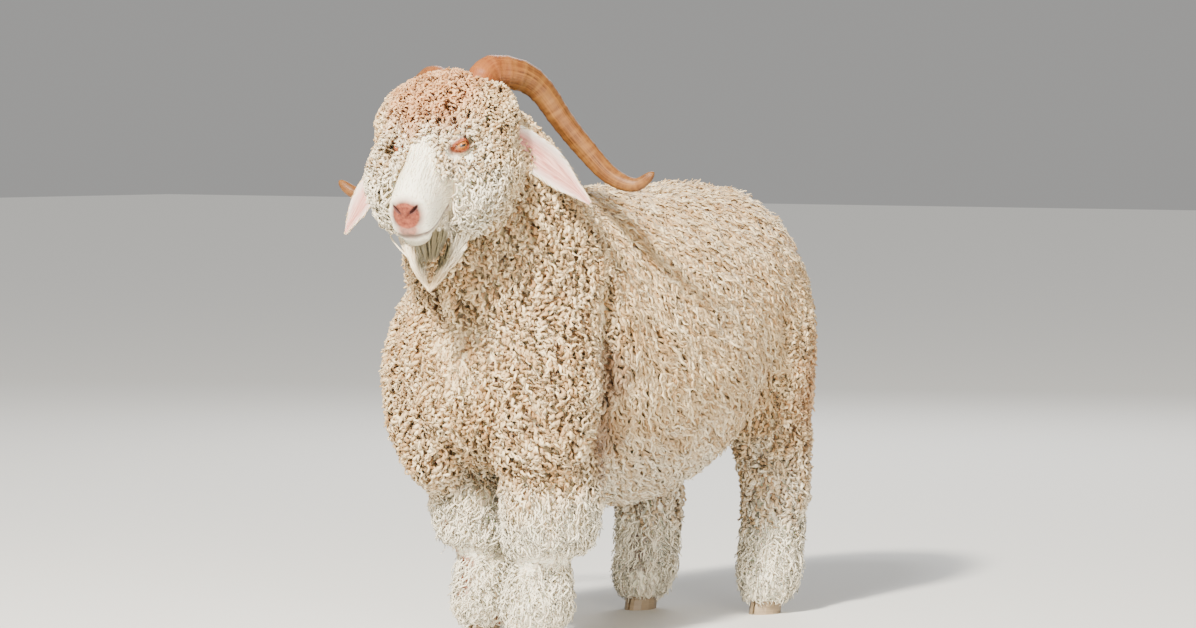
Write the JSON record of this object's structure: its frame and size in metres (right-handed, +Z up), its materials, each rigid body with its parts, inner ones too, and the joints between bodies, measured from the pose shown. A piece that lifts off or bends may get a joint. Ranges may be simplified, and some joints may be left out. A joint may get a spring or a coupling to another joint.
{
  "type": "angora goat",
  "caption": "Life-size standing Angora goat buck in full curly fleece, head turned a little to its left, with long outswept horns and hanging ears.",
  "frame": {"origin": "middle of the underside of the goat's bounding box, on the ground under its belly", "axes": "+Z up, the goat faces -Y, its left side is +X"},
  "size_m": [0.5824, 1.2894, 1.0221],
  "materials": {
    "wool": "soft matte curls",
    "horn": "satin, ringed",
    "ear_skin": "soft short hair over pink skin",
    "eye": "wet gloss",
    "hoof": "dull"
  },
  "bodies": {
    "root": {"torso": "wool", "neck": "wool", "head": "wool", "tail": "wool", "foreleg_left_upper": "wool", "foreleg_left_lower": "wool", "foreleg_right_upper": "wool", "foreleg_right_lower": "wool", "hind_leg_left_upper": "wool", "hind_leg_left_lower": "wool", "hind_leg_right_upper": "wool", "hind_leg_right_lower": "wool", "horn_left": "horn", "ear_left": "ear_skin", "eye_left": "eye", "horn_right": "horn", "ear_right": "ear_skin", "eye_right": "eye", "hoof_fore_left": "hoof", "hoof_fore_right": "hoof", "hoof_hind_left": "hoof", "hoof_hind_right": "hoof"}
  },
  "joints": []
}
